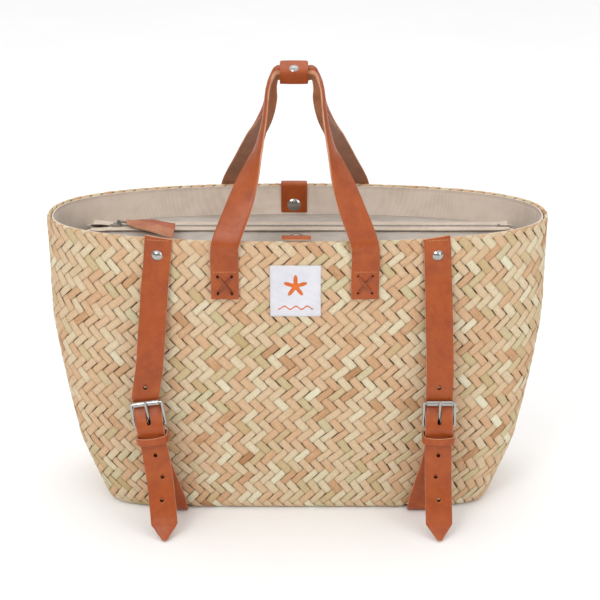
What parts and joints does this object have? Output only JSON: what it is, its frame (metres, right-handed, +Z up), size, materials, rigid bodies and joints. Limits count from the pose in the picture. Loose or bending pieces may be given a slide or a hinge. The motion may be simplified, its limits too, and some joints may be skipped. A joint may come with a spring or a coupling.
{
  "type": "beach bag",
  "caption": "Plaited seagrass beach tote with canvas liner, zipped inner panel, leather carry handles in a snap wrap, snap tabs and buckled front straps.",
  "frame": {"origin": "middle of the basket's base, on the floor it stands on", "axes": "+X to the right seen from the labelled front, +Y to the back, +Z up"},
  "size_m": [0.524, 0.2461, 0.4761],
  "materials": {
    "seagrass": "plaited dry seagrass",
    "canvas": "plain-weave cotton canvas",
    "zip_tape": "woven tape",
    "zip_coil": "nylon coil",
    "label_cloth": "woven label",
    "zip_metal": "antique nickel",
    "chrome": "polished",
    "leather": "semi-gloss tan grain, suede back",
    "lace_leather": "thong"
  },
  "bodies": {
    "basket": {"basket_shell": "seagrass", "liner": "canvas", "zip_panel_front": "canvas", "zip_panel_back": "canvas", "zip_tape_front": "zip_tape", "zip_tape_back": "zip_tape", "zip_coil_front": "zip_coil", "zip_coil_back": "zip_coil", "zip_stops": "zip_metal", "handle_front_ends": "leather", "handle_back_ends": "leather", "lacing_front": "lace_leather", "lacing_back": "lace_leather", "strap_left": "leather", "strap_right": "leather", "strap_rivets": "chrome", "lower_strap_left": "leather", "lower_strap_right": "leather", "lower_strap_rivets": "chrome", "buckle_frame_left": "chrome", "buckle_frame_right": "chrome", "tab_front_end": "leather", "tab_back_end": "leather", "label": "label_cloth"},
    "zip_slider": {"zip_slider": "zip_metal"},
    "zip_link": {"zip_pull_link": "zip_metal"},
    "zip_pull": {"zip_pull_leather": "leather"},
    "handle_front": {"handle_front_strap": "leather", "wrap_body": "leather", "wrap_snap_base": "chrome"},
    "wrap_flap": {"wrap_flap": "leather", "wrap_snap_cap": "chrome"},
    "handle_back": {"handle_back_strap": "leather"},
    "roller_left": {"buckle_roller_left": "chrome"},
    "roller_right": {"buckle_roller_right": "chrome"},
    "tongue_left": {"buckle_tongue_left": "chrome"},
    "tongue_right": {"buckle_tongue_right": "chrome"},
    "keeper_left": {"keeper_left": "leather"},
    "keeper_right": {"keeper_right": "leather"},
    "tab_front": {"tab_front": "leather", "tab_front_snap": "chrome"},
    "tab_back": {"tab_back": "leather", "tab_back_snap": "chrome"}
  },
  "joints": [
    {"name": "handle_front_swing", "type": "hinge", "parent": "basket", "child": "handle_front", "pos_m": [0, -0.09643, 0.286], "axis": [1, 0, 0], "range_deg": [0, 170]},
    {"name": "handle_back_swing", "type": "hinge", "parent": "basket", "child": "handle_back", "pos_m": [0, 0.1002, 0.286], "axis": [-1, 0, 0], "range_deg": [0, 170]},
    {"name": "wrap_flap_open", "type": "hinge", "parent": "handle_front", "child": "wrap_flap", "pos_m": [-0.0035, -0.01338, 0.46646], "axis": [1, 0, 0], "range_deg": [0, 110]},
    {"name": "zip_slide", "type": "slide", "parent": "basket", "child": "zip_slider", "axis": [1, 0, 0], "range_m": [0, 0.355]},
    {"name": "zip_link_lift", "type": "hinge", "parent": "zip_slider", "child": "zip_link", "pos_m": [-0.1895, 0.009, 0.30185], "axis": [0, -1, 0], "range_deg": [0, 120]},
    {"name": "zip_pull_swing", "type": "hinge", "parent": "zip_link", "child": "zip_pull", "pos_m": [-0.1805, 0.009, 0.30185], "axis": [0, 0, 1], "range_deg": [-8, 40]},
    {"name": "roller_left_turn", "type": "hinge", "parent": "basket", "child": "roller_left", "pos_m": [-0.15554, -0.104, 0.14375], "axis": [0.9903, 0, 0.1392], "continuous": true},
    {"name": "roller_right_turn", "type": "hinge", "parent": "basket", "child": "roller_right", "pos_m": [0.146, -0.104, 0.144], "axis": [1, 0, 0], "continuous": true},
    {"name": "tongue_left_lift", "type": "hinge", "parent": "basket", "child": "tongue_left", "pos_m": [-0.152, -0.104, 0.1186], "axis": [0.9903, 0, 0.1392], "range_deg": [0, 6]},
    {"name": "tongue_right_lift", "type": "hinge", "parent": "basket", "child": "tongue_right", "pos_m": [0.146, -0.104, 0.1186], "axis": [1, 0, 0], "range_deg": [0, 6]},
    {"name": "keeper_left_slide", "type": "slide", "parent": "basket", "child": "keeper_left", "axis": [0.1392, 0, -0.9903], "range_m": [0, 0.01]},
    {"name": "keeper_right_slide", "type": "slide", "parent": "basket", "child": "keeper_right", "axis": [0, 0, -1], "range_m": [0, 0.01]},
    {"name": "tab_front_lift", "type": "hinge", "parent": "basket", "child": "tab_front", "pos_m": [-0.0012, -0.0881, 0.3203], "axis": [1, 0, 0], "range_deg": [0, 100]},
    {"name": "tab_back_lift", "type": "hinge", "parent": "basket", "child": "tab_back", "pos_m": [-0.0038, 0.09166, 0.3193], "axis": [-1, 0, 0], "range_deg": [0, 150]}
  ]
}
